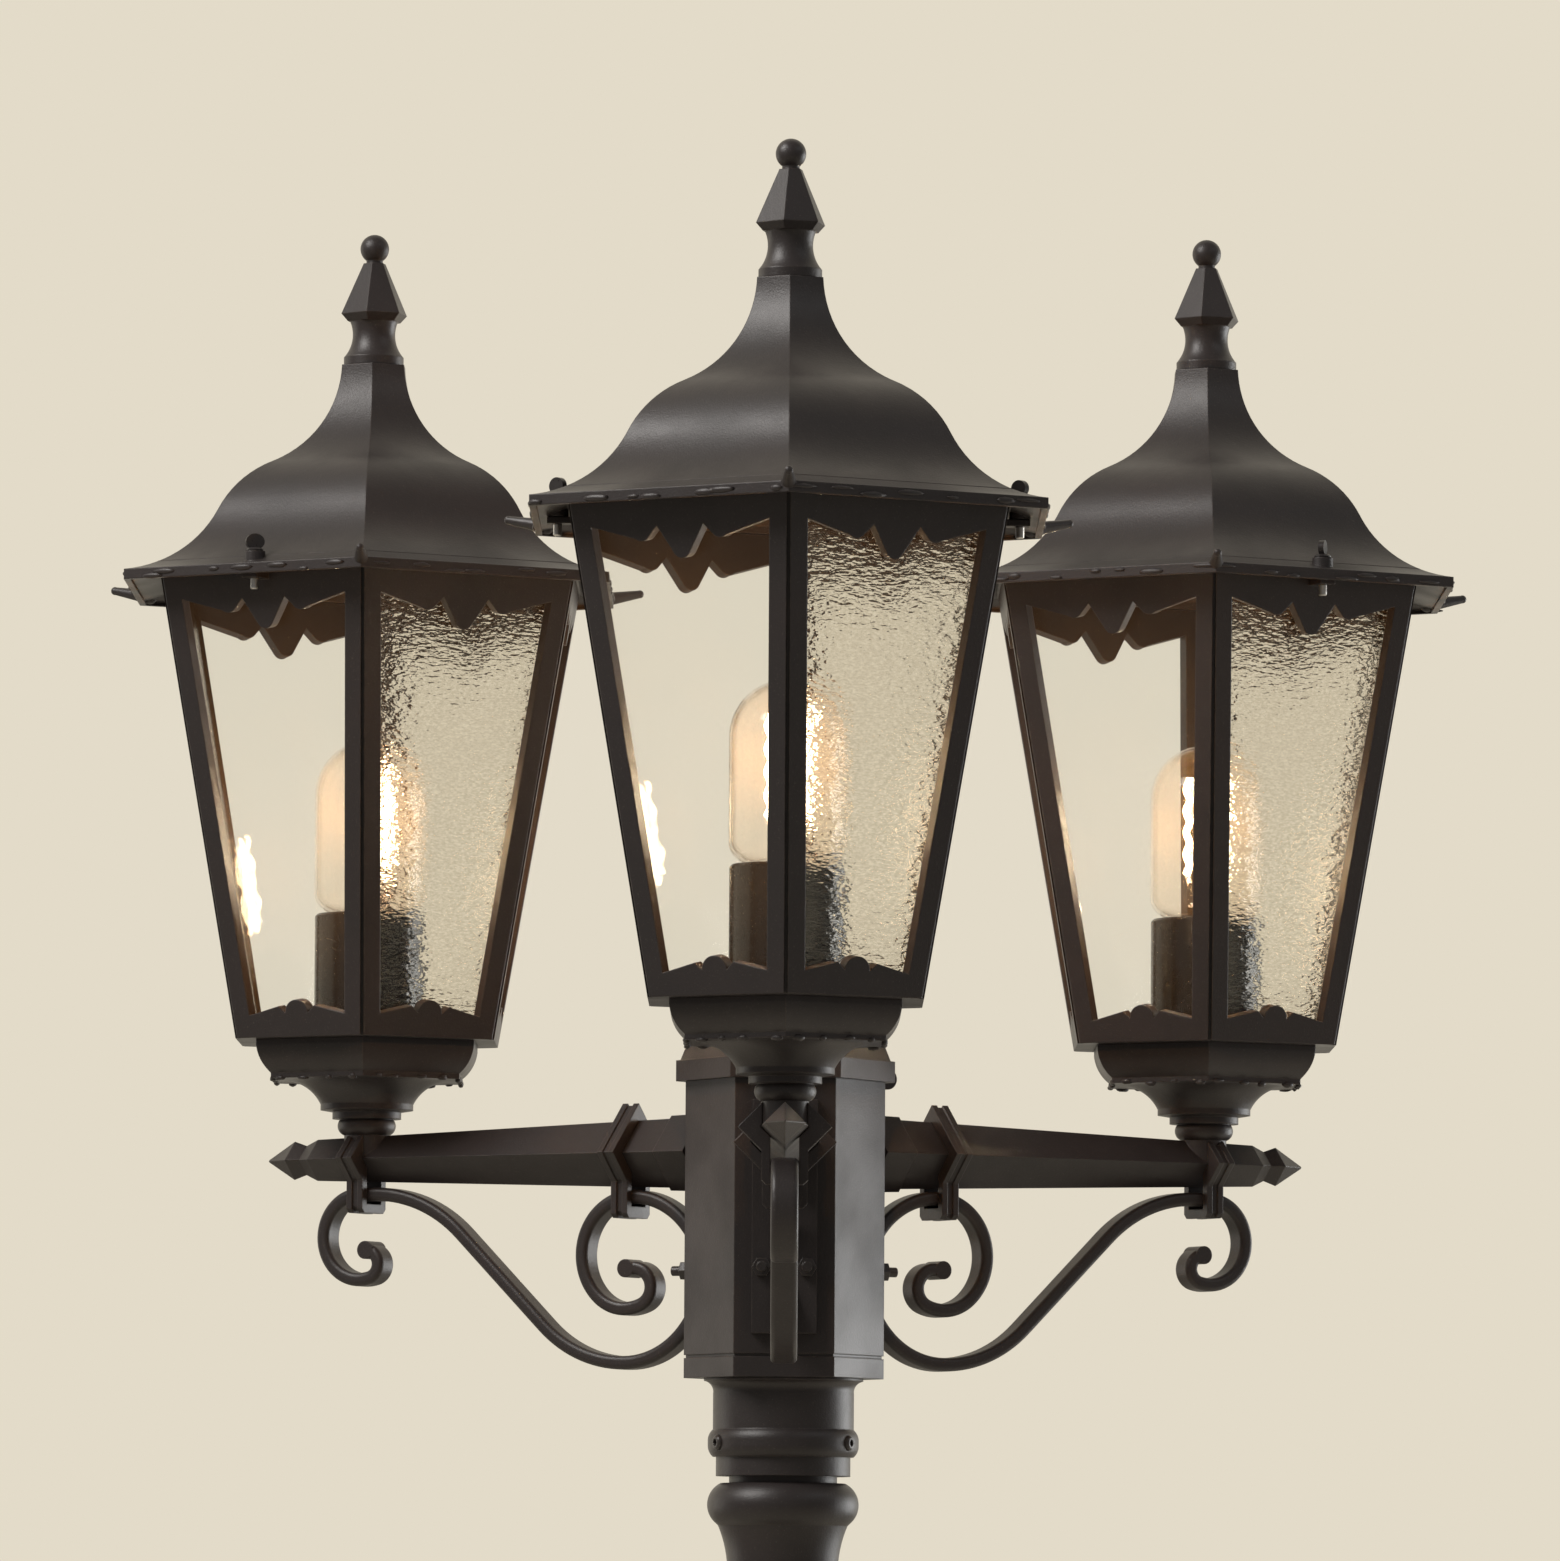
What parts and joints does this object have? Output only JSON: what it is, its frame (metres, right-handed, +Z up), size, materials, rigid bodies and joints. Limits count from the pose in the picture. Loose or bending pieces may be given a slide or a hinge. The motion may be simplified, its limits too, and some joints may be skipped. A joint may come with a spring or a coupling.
{
  "type": "triple head lamp post",
  "caption": "Round garden lamp post with a turning hexagonal column head, scrolled arms and six-sided glazed lanterns with lift-off bell roofs and screw-in bulbs.",
  "frame": {"origin": "centre of the base casting's underside, on the ground, on the post's axis", "axes": "+Z up along the post; -Y towards the front arm; the side arms point back at 30 and 150 degrees from +X"},
  "size_m": [0.565, 0.5388, 2.1995],
  "materials": {
    "coated_casting": "satin anthracite-brown powder coat on cast aluminium",
    "coated_tube": "satin anthracite-brown powder coat on drawn tube",
    "bright_steel": "bright plated steel",
    "terminal_plastic": "moulded white plastic",
    "lead_sheath": "matt black sheath",
    "clear_glass": "clear flat glass",
    "textured_glass": "clear glass with a hammered drop pattern",
    "holder_plastic": "matt black heat-resistant plastic",
    "bulb_glass": "clear blown glass",
    "bulb_metal": "bare rolled metal",
    "filament": "thin wire on a glass mount, glowing when lit"
  },
  "bodies": {
    "post": {"base_casting": "coated_casting", "post_tube": "coated_tube", "post_vase": "coated_casting"},
    "head": {"head_collar": "coated_casting", "collar_screws": "bright_steel", "column_body": "coated_casting", "column_cap": "coated_casting", "terminal_block": "terminal_plastic", "arm_bolts": "bright_steel", "arm_leads": "lead_sheath", "lamp_stems": "bright_steel", "arm_bar_front": "coated_casting", "arm_straps_front": "coated_casting", "scroll_outer_front": "coated_casting", "scroll_inner_front": "coated_casting", "cup_front": "coated_casting", "cage_front": "coated_casting", "clear_panes_front": "clear_glass", "textured_panes_front": "textured_glass", "lamp_holder_front": "holder_plastic", "arm_bar_left": "coated_casting", "arm_straps_left": "coated_casting", "scroll_outer_left": "coated_casting", "scroll_inner_left": "coated_casting", "cup_left": "coated_casting", "cage_left": "coated_casting", "clear_panes_left": "clear_glass", "textured_panes_left": "textured_glass", "lamp_holder_left": "holder_plastic", "arm_bar_right": "coated_casting", "arm_straps_right": "coated_casting", "scroll_outer_right": "coated_casting", "scroll_inner_right": "coated_casting", "cup_right": "coated_casting", "cage_right": "coated_casting", "clear_panes_right": "clear_glass", "textured_panes_right": "textured_glass", "lamp_holder_right": "holder_plastic"},
    "cap_screw": {"cap_screw": "bright_steel"},
    "roof_front": {"roof_front": "coated_casting", "finial_front": "coated_casting"},
    "bulb_front": {"bulb_glass_front": "bulb_glass", "bulb_cap_front": "bulb_metal", "bulb_filament_front": "filament"},
    "screw_left_front": {"screw_left_front": "bright_steel"},
    "screw_right_front": {"screw_right_front": "bright_steel"},
    "roof_left": {"roof_left": "coated_casting", "finial_left": "coated_casting"},
    "bulb_left": {"bulb_glass_left": "bulb_glass", "bulb_cap_left": "bulb_metal", "bulb_filament_left": "filament"},
    "screw_left_left": {"screw_left_left": "bright_steel"},
    "screw_right_left": {"screw_right_left": "bright_steel"},
    "roof_right": {"roof_right": "coated_casting", "finial_right": "coated_casting"},
    "bulb_right": {"bulb_glass_right": "bulb_glass", "bulb_cap_right": "bulb_metal", "bulb_filament_right": "filament"},
    "screw_left_right": {"screw_left_right": "bright_steel"},
    "screw_right_right": {"screw_right_right": "bright_steel"}
  },
  "joints": [
    {"name": "head_turn", "type": "hinge", "parent": "post", "child": "head", "pos_m": [0, 0, 1.7], "axis": [0, 0, 1], "range_deg": [-170, 170]},
    {"name": "cap_screw_turn", "type": "hinge", "parent": "head", "child": "cap_screw", "pos_m": [0.03291, 0.019, 1.8484], "axis": [0.866, 0.5, 0], "continuous": true},
    {"name": "roof_lift_front", "type": "slide", "parent": "head", "child": "roof_front", "axis": [0, 0, 1], "range_m": [0, 0.08]},
    {"name": "bulb_turn_front", "type": "hinge", "parent": "head", "child": "bulb_front", "pos_m": [0, -0.198, 1.9], "axis": [0, 0, 1], "continuous": true},
    {"name": "screw_left_front_turn", "type": "hinge", "parent": "roof_front", "child": "screw_left_front", "pos_m": [0.08885, -0.198, 2.055], "axis": [0, 0, 1], "continuous": true},
    {"name": "screw_right_front_turn", "type": "hinge", "parent": "roof_front", "child": "screw_right_front", "pos_m": [-0.08885, -0.198, 2.055], "axis": [0, 0, 1], "continuous": true},
    {"name": "roof_lift_left", "type": "slide", "parent": "head", "child": "roof_left", "axis": [0, 0, 1], "range_m": [0, 0.08]},
    {"name": "bulb_turn_left", "type": "hinge", "parent": "head", "child": "bulb_left", "pos_m": [-0.17147, 0.099, 1.9], "axis": [0, 0, 1], "continuous": true},
    {"name": "screw_left_left_turn", "type": "hinge", "parent": "roof_left", "child": "screw_left_left", "pos_m": [-0.2159, 0.02205, 2.055], "axis": [0, 0, 1], "continuous": true},
    {"name": "screw_right_left_turn", "type": "hinge", "parent": "roof_left", "child": "screw_right_left", "pos_m": [-0.12705, 0.17595, 2.055], "axis": [0, 0, 1], "continuous": true},
    {"name": "roof_lift_right", "type": "slide", "parent": "head", "child": "roof_right", "axis": [0, 0, 1], "range_m": [0, 0.08]},
    {"name": "bulb_turn_right", "type": "hinge", "parent": "head", "child": "bulb_right", "pos_m": [0.17147, 0.099, 1.9], "axis": [0, 0, 1], "continuous": true},
    {"name": "screw_left_right_turn", "type": "hinge", "parent": "roof_right", "child": "screw_left_right", "pos_m": [0.12705, 0.17595, 2.055], "axis": [0, 0, 1], "continuous": true},
    {"name": "screw_right_right_turn", "type": "hinge", "parent": "roof_right", "child": "screw_right_right", "pos_m": [0.2159, 0.02205, 2.055], "axis": [0, 0, 1], "continuous": true}
  ]
}
